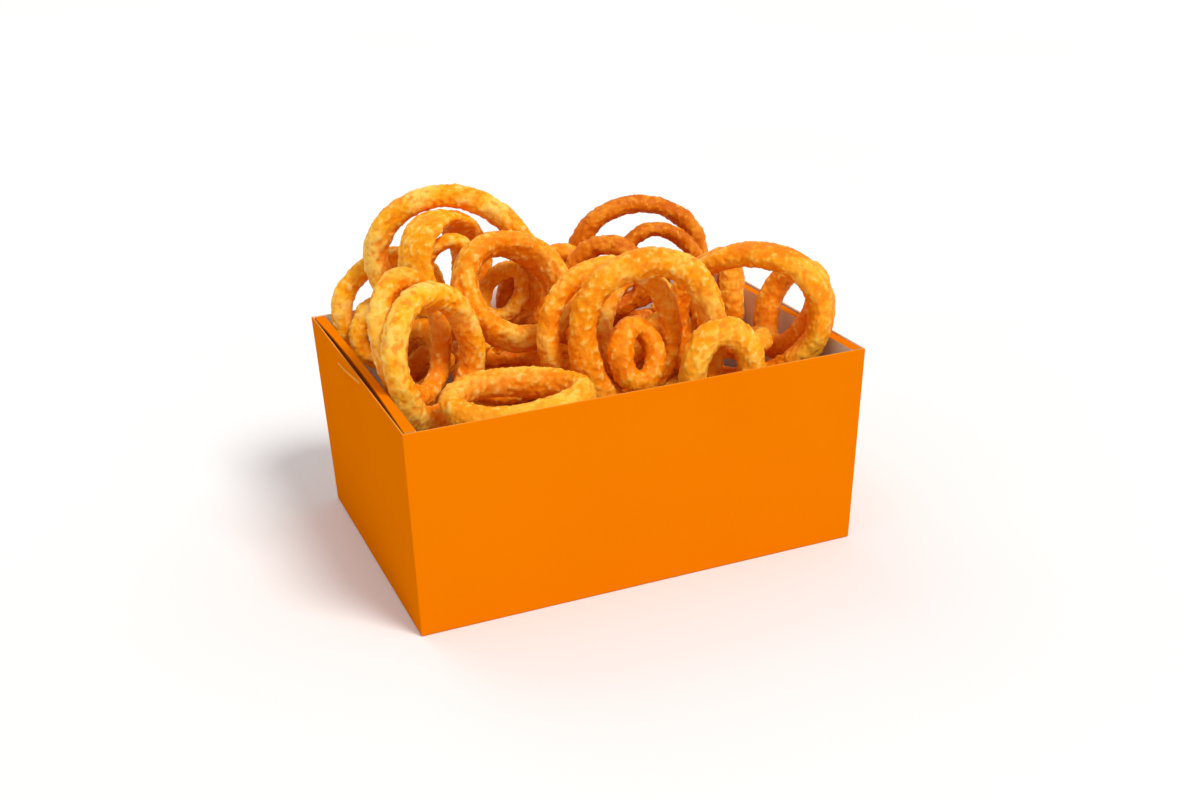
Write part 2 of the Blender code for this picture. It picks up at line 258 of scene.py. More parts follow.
class Graph:
    """A material's node graph, with short ways to add the nodes used here."""

    def __init__(self, name: str) -> None:
        """Start a material with one Principled shader.

        Args:
            name: The material's name.
        """
        self.material = bpy.data.materials.new(name)
        self.material.use_nodes = True
        self.tree = self.material.node_tree
        self.shader = self.tree.nodes["Principled BSDF"]
        coordinates = self.tree.nodes.new("ShaderNodeTexCoord")
        self.place = coordinates.outputs["Object"]

    def link(self, source: Socket, target: Socket) -> None:
        """Join two sockets."""
        self.tree.links.new(source, target)

    def noise(self, blotches: Blotches) -> Socket:
        """Add a noise pattern.

        Args:
            blotches: The pattern's look.

        Returns:
            The pattern's value socket.
        """
        node = self.tree.nodes.new("ShaderNodeTexNoise")
        node.inputs["Scale"].default_value = 1.0 / blotches.size
        node.inputs["Detail"].default_value = blotches.detail
        node.inputs["Roughness"].default_value = blotches.roughness
        node.inputs["Distortion"].default_value = blotches.distortion
        self.link(self.place, node.inputs["Vector"])
        return node.outputs["Fac"]

    def cells(self, size: float) -> Socket:
        """Add a cell pattern.

        Args:
            size: The size of one cell in metres.

        Returns:
            The socket of the distance from each cell's middle.
        """
        node = self.tree.nodes.new("ShaderNodeTexVoronoi")
        node.inputs["Scale"].default_value = 1.0 / size
        self.link(self.place, node.inputs["Vector"])
        return node.outputs["Distance"]

    def ramp(self, source: Socket, places: tuple[float, ...], colours: tuple[Colour, ...]) -> Socket:
        """Add a colour ramp.

        Args:
            source: The value that picks the colour.
            places: The stops' places, from 0 to 1.
            colours: Each stop's colour.

        Returns:
            The ramp's colour socket.
        """
        node = self.tree.nodes.new("ShaderNodeValToRGB")
        band = node.color_ramp
        while len(band.elements) < len(places):
            band.elements.new(0.5)
        for element, place, colour in zip(band.elements, places, colours):
            element.position = place
            element.color = (*colour, 1.0)
        self.link(source, node.inputs["Fac"])
        return node.outputs["Color"]

    def between(self, source: Socket, low: float, high: float, out_low: float, out_high: float) -> Socket:
        """Map a value from one range to another, held at both ends.

        Args:
            source: The value to map.
            low: The start of the range read.
            high: The end of the range read.
            out_low: What the start gives.
            out_high: What the end gives.

        Returns:
            The mapped value's socket.
        """
        node = self.tree.nodes.new("ShaderNodeMapRange")
        node.inputs["From Min"].default_value = low
        node.inputs["From Max"].default_value = high
        node.inputs["To Min"].default_value = out_low
        node.inputs["To Max"].default_value = out_high
        self.link(source, node.inputs["Value"])
        return node.outputs["Result"]

    def share(self, source: Socket, blend: Blend) -> Socket:
        """Turn a value into a share of colour.

        Args:
            source: The value to map.
            blend: Where the share starts and ends, and how much it is at most.

        Returns:
            The share's socket.
        """
        return self.between(source, blend.start, blend.end, 0.0, blend.most)

    def mix(self, factor: Socket, below: Socket, colour: Colour) -> Socket:
        """Lay a colour over another where a factor says.

        Args:
            factor: How much of the colour shows.
            below: The colour socket below.
            colour: The colour laid over it.

        Returns:
            The mixed colour's socket.
        """
        node = self.tree.nodes.new("ShaderNodeMix")
        node.data_type = "RGBA"
        self.link(factor, node.inputs["Factor"])
        self.link(below, node.inputs[MIX_BELOW])
        node.inputs[MIX_ABOVE].default_value = (*colour, 1.0)
        return node.outputs[MIX_RESULT]

    def near_front_rim(self) -> Socket:
        """Say how much paler a place is for being near the carton's front rim.

        Returns:
            The socket of a share that is highest just above the front rim.
        """
        split = self.tree.nodes.new("ShaderNodeSeparateXYZ")
        self.link(self.place, split.inputs["Vector"])
        product = self.tree.nodes.new("ShaderNodeMath")
        product.operation = "MULTIPLY"
        self.link(self.share(split.outputs["Z"], RIM_HEIGHT), product.inputs[0])
        self.link(self.share(split.outputs["Y"], RIM_DEPTH), product.inputs[1])
        return product.outputs["Value"]

    def attribute(self, name: str) -> Socket:
        """Read what a mesh records at its vertices.

        Args:
            name: The attribute's name.

        Returns:
            The socket of its value.
        """
        node = self.tree.nodes.new("ShaderNodeAttribute")
        node.attribute_name = name
        return node.outputs["Fac"]

    def bump(self, pattern: Socket, bump: Bump, below: Socket | None = None) -> Socket:
        """Add a bump layer.

        Args:
            pattern: The pattern that gives the height.
            bump: How strong and how high the layer is.
            below: The bump layer that this one lies on.

        Returns:
            The bump's normal socket.
        """
        node = self.tree.nodes.new("ShaderNodeBump")
        node.inputs["Strength"].default_value = bump.strength
        node.inputs["Distance"].default_value = bump.height
        self.link(pattern, node.inputs["Height"])
        if below is not None:
            self.link(below, node.inputs["Normal"])
        return node.outputs["Normal"]


@dataclass(frozen=True)
class BatterFinish:
    """Fried batter: golden, with painted highlights on its bumps and peaks, and painted shade in its hollows
    and on the side facing its ring's hole.
    """

    tone: Tone
    deep: Colour
    mid: Colour
    light: Colour
    # Painted shade, laid in the batter's hollows and on the side of each ring that faces its hole
    hollow_shade: Colour = (0.86, 0.205, 0.0005)
    # Real crumb flecks in the grain, and also painted glints on the highest peaks
    fleck_and_glint: Colour = (1.0, 0.66, 0.19)
    toast: Colour = (0.74, 0.16, 0.001)
    pale: Colour = (1.0, 0.52, 0.030)
    clouds: Blotches = Blotches(17 * MM, 2.0, 0.5)
    mottle: Blotches = Blotches(4.0 * MM, 3.0, 0.6, 0.3)
    grain: Blotches = Blotches(1.2 * MM, 4.0, 0.7)
    spots: Blotches = Blotches(2.4 * MM, 1.0, 0.5)
    pimple_size: float = 1.6 * MM
    cloud_stops: tuple[float, float, float] = (0.34, 0.5, 0.66)
    light_mottle: Blend = Blend(0.52, 0.70, 0.40)
    deep_mottle: Blend = Blend(0.48, 0.32, 0.40)
    # Where the painted shade falls in hollows and inside the ring, and where painted highlights lie on bumps
    # and peaks
    shade_in_hollows: Blend = Blend(0.44, 0.08, 0.70)
    shade_inside_ring: Blend = Blend(0.0, 1.0, 0.65)
    highlight_on_bumps: Blend = Blend(0.56, 0.92, 0.55)
    glint_on_peaks: Blend = Blend(0.74, 1.0, 0.5)
    grain_flecks: Blend = Blend(0.60, 0.74, 0.45)
    toasted_spots: Blend = Blend(0.68, 0.80, 0.30)
    roughest: float = 0.55
    smoothest: float = 0.38
    gloss: float = 0.11
    soft_light: float = 0.15
    soft_light_colours: Colour = (1.0, 0.35, 0.08)
    soft_light_depth: float = 2.0 * MM
    mottle_bump: Bump = Bump(0.55, 0.45 * MM)
    pimple_bump: Bump = Bump(-0.35, 0.35 * MM)
    grain_bump: Bump = Bump(0.55, 0.22 * MM)

    def material(self) -> bpy.types.Material:
        """Build the material.

        Returns:
            The batter material for this tone.
        """
        graph = Graph(f"batter_{self.tone.value}")
        mottle = graph.noise(self.mottle)
        grain = graph.noise(self.grain)
        relief = graph.attribute("relief")
        colour = graph.ramp(graph.noise(self.clouds), self.cloud_stops, (self.deep, self.mid, self.light))
        for source, blend, laid_over in (
            (mottle, self.light_mottle, self.light),
            (mottle, self.deep_mottle, self.deep),
            # Painted shade: low relief takes the darker hollow colour
            (relief, self.shade_in_hollows, self.hollow_shade),
            # Painted shade: the side of a ring that faces its hole takes the darker hollow colour
            (graph.attribute("inner"), self.shade_inside_ring, self.hollow_shade),
            # Painted highlight: high relief takes the light colour, and the peaks a pale painted glint
            (relief, self.highlight_on_bumps, self.light),
            (relief, self.glint_on_peaks, self.fleck_and_glint),
        ):
            colour = graph.mix(graph.share(source, blend), colour, laid_over)
        colour = graph.mix(graph.near_front_rim(), colour, self.pale)
        colour = graph.mix(graph.share(grain, self.grain_flecks), colour, self.fleck_and_glint)
        colour = graph.mix(graph.share(graph.noise(self.spots), self.toasted_spots), colour, self.toast)
        graph.link(colour, graph.shader.inputs["Base Color"])
        graph.link(graph.between(mottle, *NOISE_RANGE, self.roughest, self.smoothest),
                   graph.shader.inputs["Roughness"])
        graph.shader.inputs["Specular IOR Level"].default_value = self.gloss
        graph.shader.inputs["Subsurface Weight"].default_value = self.soft_light
        graph.shader.inputs["Subsurface Radius"].default_value = self.soft_light_colours
        graph.shader.inputs["Subsurface Scale"].default_value = self.soft_light_depth
        coarse = graph.bump(mottle, self.mottle_bump)
        pimples = graph.bump(graph.cells(self.pimple_size), self.pimple_bump, coarse)
        graph.link(graph.bump(grain, self.grain_bump, pimples), graph.shader.inputs["Normal"])
        return graph.material


@dataclass(frozen=True)
class BoardFinish:
    """One side of the paperboard, with its bare core showing where it is scuffed."""

    side: BoardSide
    colour: Colour
    shade: Colour
    roughness: float
    fibre: float
    bare: Colour = (0.84, 0.38, 0.09)
    clouds: Blotches = Blotches(45 * MM, 2.0, 0.5)
    fibres: Blotches = Blotches(0.9 * MM, 5.0, 0.7, 0.8)
    fibre_range: tuple[float, float] = (0.5, 0.75)
    fibre_bump: Bump = Bump(0.25, 0.05 * MM)
    unevenness: float = 0.06

    def material(self) -> bpy.types.Material:
        """Build the material.

        Returns:
            The board material for this side.
        """
        graph = Graph(f"board_{self.side.value}")
        fibres = graph.noise(self.fibres)
        colour = graph.ramp(graph.noise(self.clouds), NOISE_RANGE, (self.shade, self.colour))
        colour = graph.mix(graph.share(fibres, Blend(*self.fibre_range, self.fibre)), colour, self.shade)
        colour = graph.mix(graph.attribute("scuff"), colour, self.bare)
        graph.link(colour, graph.shader.inputs["Base Color"])
        smoothest, roughest = self.roughness - self.unevenness, self.roughness + self.unevenness
        graph.link(graph.between(fibres, *NOISE_RANGE, smoothest, roughest), graph.shader.inputs["Roughness"])
        graph.shader.inputs["Specular IOR Level"].default_value = 0.0
        graph.link(graph.bump(fibres, self.fibre_bump), graph.shader.inputs["Normal"])
        return graph.material


BATTERS = {
    Tone.PALE: BatterFinish(Tone.PALE, (0.95, 0.34, 0.002), (1.0, 0.43, 0.007), (1.0, 0.60, 0.095)),
    Tone.GOLDEN: BatterFinish(Tone.GOLDEN, (0.90, 0.25, 0.001), (0.98, 0.34, 0.002), (1.0, 0.53, 0.065)),
    Tone.AMBER: BatterFinish(Tone.AMBER, (0.86, 0.215, 0.0005), (0.95, 0.30, 0.002), (1.0, 0.46, 0.030),
                             fleck_and_glint=(1.0, 0.58, 0.12)),
    Tone.DEEP: BatterFinish(Tone.DEEP, (0.60, 0.120, 0.0004), (0.71, 0.175, 0.001), (0.86, 0.29, 0.014),
                            hollow_shade=(0.62, 0.115, 0.0005), fleck_and_glint=(0.93, 0.40, 0.045)),
}

BOARDS = {
    BoardSide.PRINTED: BoardFinish(BoardSide.PRINTED, (0.800, 0.190, 0.0), (0.785, 0.184, 0.0), 0.75, 0.2),
    BoardSide.BARE: BoardFinish(BoardSide.BARE, (0.93, 0.93, 0.94), (0.88, 0.88, 0.89), 0.8, 0.35),
    BoardSide.CUT: BoardFinish(BoardSide.CUT, (0.72, 0.33, 0.09), (0.64, 0.26, 0.05), 0.8, 0.5),
    BoardSide.WORN: BoardFinish(BoardSide.WORN, (0.86, 0.25, 0.010), (0.80, 0.20, 0.002), 0.75, 0.4),
}

# The standing rings that were fried paler or darker than most, but the deep tone of ring_centre_left_behind
# is painted shade
TONES = {
    # Painted shade: this ring is seen only in shadow through the hole of the ring in front, so it takes the
    # deep tone
    "ring_centre_left_behind": Tone.DEEP,
    "ring_centre_curl": Tone.AMBER,
    "ring_centre_hooked": Tone.AMBER,
    "ring_back_left_tall": Tone.PALE,
    "ring_back_left_band": Tone.PALE,
    "ring_back_left_shell": Tone.PALE,
    "ring_far_left": Tone.PALE,
    "ring_far_left_inner": Tone.PALE,
    "ring_front_left": Tone.PALE,
    "ring_right_big": Tone.AMBER,
    "ring_right_outer": Tone.AMBER,
    "ring_back_arch": Tone.DEEP,
    "ring_back_arch_inner": Tone.DEEP,
    "ring_back_middle": Tone.DEEP,
    "ring_right_edge_on": Tone.AMBER,
    "ring_right_edge_on_near": Tone.AMBER,
    "ring_left_low": Tone.AMBER,
    "ring_middle_lying": Tone.AMBER,
}


def relief_layer(item: bpy.types.Object, name: str, kind: str, size: float, height: float) -> None:
    """Add a layer of procedural relief to an object.

    Args:
        item: The object.
        name: The layer's name.
        kind: Blender's texture type.
        size: The size of its bumps in metres.
        height: How far it moves the skin from low to high.
    """
    texture = bpy.data.textures.new(name, kind)
    texture.noise_scale = size
    if kind == "CLOUDS":
        texture.noise_depth = 2
    layer = item.modifiers.new(name, "DISPLACE")
    layer.texture = texture
    layer.texture_coords = "LOCAL"
    layer.strength = height
    layer.mid_level = 0.5


def mark_inner_side(ring: bpy.types.Object) -> None:
    """Record how far each place of a ring's skin faces the ring's hole, for the painted shade inside the
    ring.

    Args:
        ring: The finished ring.
    """
    places = vertex_places(ring)
    places -= places.mean(axis=0)
    axis = np.linalg.svd(places[::SAMPLE_STEP], full_matrices=False)[2][2]
    outwards = places - np.outer(places @ axis, axis)
    outwards /= np.linalg.norm(outwards, axis=1)[:, None]
    facing = -(vertex_normals(ring) * outwards).sum(axis=1)
    record_values(ring, "inner", fade(facing, 0.0, INNER_FULL))


@dataclass(frozen=True)
class Crust:
    """A batter's skin: its faces' size and how high its swells, lumps and crags are."""

    voxel: float
    swells: float
    lumps: float
    crags: float
    swell_size: float = 11 * MM
    lump_size: float = 3.4 * MM
    pimple_size: float = 2.5 * MM
    crag_size: float = 1.4 * MM
    pimples_to_crags: float = 0.8
    softening: int = 6

    def fry(self, item: bpy.types.Object) -> None:
        """Turn a plain solid into bumpy batter and record its relief for the painted shade in its hollows and
        the painted highlights on its bumps.

        Args:
            item: The solid to change.
        """
        self.round_off(item)
        relief_layer(item, "swells", "CLOUDS", self.swell_size, self.swells)
        apply_modifiers(item)
        before = vertex_places(item)
        normals = vertex_normals(item)
        relief_layer(item, "lumps", "CLOUDS", self.lump_size, self.lumps)
        relief_layer(item, "pimples", "VORONOI", self.pimple_size, -self.pimples_to_crags * self.crags)
        relief_layer(item, "crags", "CLOUDS", self.crag_size, self.crags)
        apply_modifiers(item)
        height = ((vertex_places(item) - before) * normals).sum(axis=1)
        reach = RELIEF_SPREAD * float(height.std())
        record_values(item, "relief", fade(height - float(height.mean()), -reach, reach))
        for polygon in item.data.polygons:
            polygon.use_smooth = True

    def round_off(self, item: bpy.types.Object) -> None:
        """Round a plain solid and give it small even faces.

        Args:
            item: The solid to change.
        """
        rounding = item.modifiers.new("rounding", "SUBSURF")
        rounding.levels = 1
        rounding.render_levels = 1
        remesh = item.modifiers.new("even skin", "REMESH")
        remesh.mode = "VOXEL"
        remesh.voxel_size = self.voxel
        smooth = item.modifiers.new("soften", "SMOOTH")
        smooth.iterations = self.softening
        apply_modifiers(item)


@dataclass
class FriedRing:
    """One standing ring, fried from its frame node."""

    node: str
    tone: Tone
    plump: float = 0.45 * MM
    crust: Crust = Crust(voxel=0.72 * MM, swells=1.6 * MM, lumps=1.15 * MM, crags=0.60 * MM)
    piece: bpy.types.Object | None = field(default=None, init=False, repr=False)

    def build(self, frame: dict) -> None:
        """Round the node's mesh off and raise its batter.

        Args:
            frame: The loaded frame.
        """
        self.piece = merged_copy(frame["nodes"][self.node], f"{self.node}_fried")
        bpy.ops.object.mode_set(mode="EDIT")
        bpy.ops.mesh.select_all(action="SELECT")
        bpy.ops.mesh.tris_convert_to_quads()
        bpy.ops.transform.shrink_fatten(value=self.plump)
        bpy.ops.object.mode_set(mode="OBJECT")
        self.crust.fry(self.piece)
        mark_inner_side(self.piece)

    def dress(self, batters: dict[Tone, bpy.types.Material]) -> None:
        """Give the ring its batter and put it in the frame.

        Args:
            batters: The batter material of each tone.
        """
        self.piece.data.materials.append(batters[self.tone])
        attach(self.piece, BODY)
        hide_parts(self.node)


@dataclass(frozen=True)
class RingForm:
    """One whole ring: an uneven oval strand, bent slightly out of flat."""

    name: str
    centre: Point
    facing: float
    lean: float
    spin: float
    long: float
    short: float
    strand: float
    seed: int
    wobble: float = 0.09
    wobble_waves: tuple[int, ...] = (2, 3, 4)
    swell: float = 0.10
    swell_waves: tuple[int, ...] = (1, 2, 5)
    least_swell: float = 0.3
    swell_seed_step: int = 500
    bend: float = 1.0 * MM
    bend_waves: int = 2
    stations: int = 48
    sides: int = 14
    tube: float = 0.25

    def axes(self) -> tuple[np.ndarray, np.ndarray, np.ndarray]:
        """Find how the ring lies.

        Returns:
            Its axis and the directions of its long and short ways.
        """
        turn, rise, spin = (math.radians(angle) for angle in (self.facing, self.lean, self.spin))
        level_share = math.cos(rise)
        axis = np.array([math.sin(turn) * level_share, -math.cos(turn) * level_share, math.sin(rise)])
        level = np.array([math.cos(turn), math.sin(turn), 0.0])
        upright = np.cross(axis, level)
        return (axis, level * math.cos(spin) + upright * math.sin(spin),
                upright * math.cos(spin) - level * math.sin(spin))

    def thickness(self, angles: np.ndarray) -> np.ndarray:
        """Find how thick the strand is round the ring.

        Args:
            angles: Angles round the ring.

        Returns:
            The strand's radius at each angle.
        """
        draw = np.random.RandomState(self.seed + self.swell_seed_step)
        radius = np.full_like(angles, self.strand / 2.0)
        for waves in self.swell_waves:
            height = self.swell * draw.uniform(self.least_swell, 1.0) / math.sqrt(waves)
            phase = draw.uniform(0.0, math.tau)
            radius += height * self.strand / 2.0 * np.cos(waves * angles + phase)
        return radius

    def place_skin(self, angles: np.ndarray, turns: np.ndarray) -> np.ndarray:
        """Find places on the ring's skin.

        Args:
            angles: Angles round the ring.
            turns: Turns round its strand, one for each angle.

        Returns:
            One row of x, y and z for each pair.
        """
        draw = np.random.RandomState(self.seed)
        axis, long_way, short_way = self.axes()
        wobble = np.ones_like(angles)
        for waves in self.wobble_waves:
            height = self.wobble * draw.uniform(-1.0, 1.0) / waves
            wobble += height * np.cos(waves * angles + draw.uniform(0.0, math.tau))
        bend = self.bend * np.cos(self.bend_waves * angles + draw.uniform(0.0, math.tau))
        half_long, half_short = (self.long - self.strand) / 2.0, (self.short - self.strand) / 2.0
        outwards = (np.outer(np.cos(angles) * self.short, long_way)
                    + np.outer(np.sin(angles) * self.long, short_way))
        outwards /= np.linalg.norm(outwards, axis=1)[:, None]
        line = (np.array(self.centre)
                + np.outer(half_long * np.cos(angles) * wobble, long_way)
                + np.outer(half_short * np.sin(angles) * wobble, short_way)
                + np.outer(bend, axis))
        radius = self.thickness(angles)
        return (line + outwards * (radius * np.cos(turns))[:, None]
                + np.outer(radius * np.sin(turns), axis))

    def build(self) -> bpy.types.Object:
        """Shape a torus into the ring.

        Returns:
            The ring as a plain solid.
        """
        deselect_all()
        bpy.ops.mesh.primitive_torus_add(major_segments=self.stations, minor_segments=self.sides,
                                         major_radius=1.0, minor_radius=self.tube)
        ring = bpy.context.object
        ring.name = self.name
        places = vertex_places(ring)
        angles = np.arctan2(places[:, 1], places[:, 0])
        turns = np.arctan2(places[:, 2], np.hypot(places[:, 0], places[:, 1]) - 1.0)
        ring.data.vertices.foreach_set("co", self.place_skin(angles, turns).ravel())
        ring.data.update()
        bpy.ops.object.mode_set(mode="EDIT")
        bpy.ops.mesh.select_all(action="SELECT")
        bpy.ops.mesh.normals_make_consistent(inside=False)
        bpy.ops.object.mode_set(mode="OBJECT")
        return ring


@dataclass
class LowerHeap:
    """The rings that fill the carton under the standing ones, lying over a core."""

    columns: int = 4
    rows: int = 3
    half_length: float = 58.9 * MM
    half_depth: float = 38.6 * MM
    stray_mm: float = 3.0
    size: float = 62 * MM
    shrink_mm: float = 8.0
    narrowing_mm: tuple[float, float] = (4.0, 12.0)
    strand: float = 12 * MM
    sink: float = 3.5 * MM
    most_tilt: float = 4.0
    core_front: float = 40 * MM
    core_back: float = 44 * MM
    depth: float = 155 * MM
    ripple: float = 2.5 * MM
    ripple_along: float = 13 * MM
    ripple_across: float = 11 * MM
    ripple_phase: float = 1.0
    settle: float = 2.5 * MM
    settle_from: float = 20 * MM
    settle_full: float = 34 * MM
    core_crust: Crust = Crust(voxel=1.6 * MM, swells=2.6 * MM, lumps=2.2 * MM, crags=0.8 * MM)
    ring_crust: Crust = Crust(voxel=1.2 * MM, swells=1.3 * MM, lumps=1.4 * MM, crags=0.7 * MM)
    seed: int = 11
    core: bpy.types.Object | None = field(default=None, init=False, repr=False)
    rings: list[bpy.types.Object] = field(default_factory=list, init=False, repr=False)

    def top(self, x: float, y: float) -> float:
        """Find the height of the core's smooth top.

        Args:
            x: The place along the carton.
            y: The place across it.

        Returns:
            The height there.
        """
        share = min(max(y / self.depth + 0.5, 0.0), 1.0)
        rise = (self.core_back - self.core_front) * math.sin(0.5 * math.pi * share)
        along = math.sin(x / self.ripple_along + self.ripple_phase)
        return self.core_front + rise + self.ripple * along * math.cos(y / self.ripple_across)

    def forms(self) -> list[RingForm]:
        """Draw the lying rings' places and sizes, spread over the heap in rows.

        Returns:
            The form of each lying ring.
        """
        draw = np.random.RandomState(self.seed)
        found = []
        for row in range(self.rows):
            for column in range(self.columns):
                x = self.half_length * (2.0 * column / (self.columns - 1) - 1.0)
                x += draw.uniform(-self.stray_mm, self.stray_mm) * MM
                y = self.half_depth * (2.0 * row / (self.rows - 1) - 1.0)
                y += draw.uniform(-self.stray_mm, self.stray_mm) * MM
                size = self.size - draw.uniform(0.0, self.shrink_mm) * MM
                place = (x, y, self.top(x, y) + self.strand / 2.0 - self.sink)
                facing = draw.uniform(0.0, 360.0)
                tilt = draw.uniform(0.0, self.most_tilt)
                spin = draw.uniform(0.0, 90.0)
                short = size - draw.uniform(*self.narrowing_mm) * MM
                found.append(RingForm(f"lying_ring_{row}_{column}", place, facing, 90.0 - tilt, spin,
                                      size, short, self.strand, int(draw.randint(1000))))
        return found

    def build(self, frame: dict) -> None:
        """Make the core and lay its rings over it.

        Args:
            frame: The loaded frame.
        """
        self.core = merged_copy(frame["nodes"]["rings_below"], "rings_below_core")
        places = vertex_places(self.core)
        places[:, 2] -= self.settle * fade(places[:, 2], self.settle_from, self.settle_full)
        self.core.data.vertices.foreach_set("co", places.ravel())
        self.core.data.update()
        self.core_crust.fry(self.core)
        self.rings = [form.build() for form in self.forms()]
        for ring in self.rings:
            self.ring_crust.fry(ring)
            mark_inner_side(ring)

    def dress(self, batters: dict[Tone, bpy.types.Material]) -> None:
        """Give the heap its batter and put it in the frame.

        Args:
            batters: The batter material of each tone.
        """
        # Painted shade: the core lies deep under the rings where shade falls, so it takes the dark deep tone
        self.core.data.materials.append(batters[Tone.DEEP])
        for number, ring in enumerate(self.rings):
            ring.data.materials.append(batters[Tone.AMBER if number % 2 else Tone.GOLDEN])
        for piece in (self.core, *self.rings):
            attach(piece, BODY)
            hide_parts("rings_below")


@dataclass
class Crumbs:
    """Loose bits and small curls of batter that lie on the rings."""

    places: tuple[Point, ...] = (
        (-47 * MM, 6 * MM, 6.0 * MM), (-41 * MM, 10 * MM, 7.5 * MM), (-35 * MM, 11 * MM, 6.5 * MM),
        (-29 * MM, 9 * MM, 7.0 * MM), (-23 * MM, 6 * MM, 5.0 * MM), (-38 * MM, 14 * MM, 5.5 * MM),
        (-31 * MM, 14 * MM, 4.5 * MM), (48 * MM, 18 * MM, 6.0 * MM), (22 * MM, 8 * MM, 5.5 * MM),
    )
    curls: tuple[RingForm, ...] = (
        RingForm("curl_0", (-22 * MM, 30 * MM, 103 * MM), -30, 24, 60, 31 * MM, 23 * MM, 7.5 * MM, 41),
    )
    drop_from: float = 100 * MM
    stretch: tuple[float, float] = (0.7, 1.25)
    unevenness: float = 0.28
    rise_share: float = 0.3
    crust: Crust = Crust(voxel=0.6 * MM, swells=0.8 * MM, lumps=1.2 * MM, crags=0.8 * MM)
    seed: int = 31
    pieces: list[bpy.types.Object] = field(default_factory=list, init=False, repr=False)

    def build(self, below: list[bpy.types.Object]) -> None:
        """Drop each crumb on whatever lies under it, and make the curls.

        Args:
            below: The pieces that a crumb may land on.
        """
        draw = np.random.RandomState(self.seed)
        for number, (x, y, size) in enumerate(self.places):
            start = Vector((x, y, self.drop_from))
            hits = [item.ray_cast(start, Vector((0.0, 0.0, -1.0))) for item in below]
            heights = [place.z for hit, place, _, _ in hits if hit]
            if heights:
                centre = (x, y, max(heights) + self.rise_share * size)
                self.pieces.append(self.build_crumb(f"crumb_{number}", centre, size, draw))
        self.pieces.extend(curl.build() for curl in self.curls)
        for piece in self.pieces:
            self.crust.fry(piece)

    def build_crumb(self, name: str, centre: Point, size: float,
                    draw: np.random.RandomState) -> bpy.types.Object:
        """Press a ball into an uneven crumb.

        Args:
            name: The crumb's name.
            centre: Where its middle lies.
            size: How far across it is, before it is stretched.
            draw: The source of its unevenness.

        Returns:
            The crumb as a plain solid.
        """
        deselect_all()
        bpy.ops.mesh.primitive_ico_sphere_add(subdivisions=3, radius=size / 2.0)
        crumb = bpy.context.object
        crumb.name = name
        stretch = draw.uniform(*self.stretch, 3)
        lumps = 1.0 + draw.uniform(-self.unevenness, self.unevenness, len(crumb.data.vertices))
        skin = vertex_places(crumb) * stretch * lumps[:, None] + centre
        crumb.data.vertices.foreach_set("co", skin.ravel())
        crumb.data.update()
        return crumb

    def dress(self, batters: dict[Tone, bpy.types.Material]) -> None:
        """Give the crumbs their batter and put them in the frame.

        Args:
            batters: The batter material of each tone.
        """
        for crumb in self.pieces:
            crumb.data.materials.append(batters[Tone.PALE])
            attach(crumb, BODY)


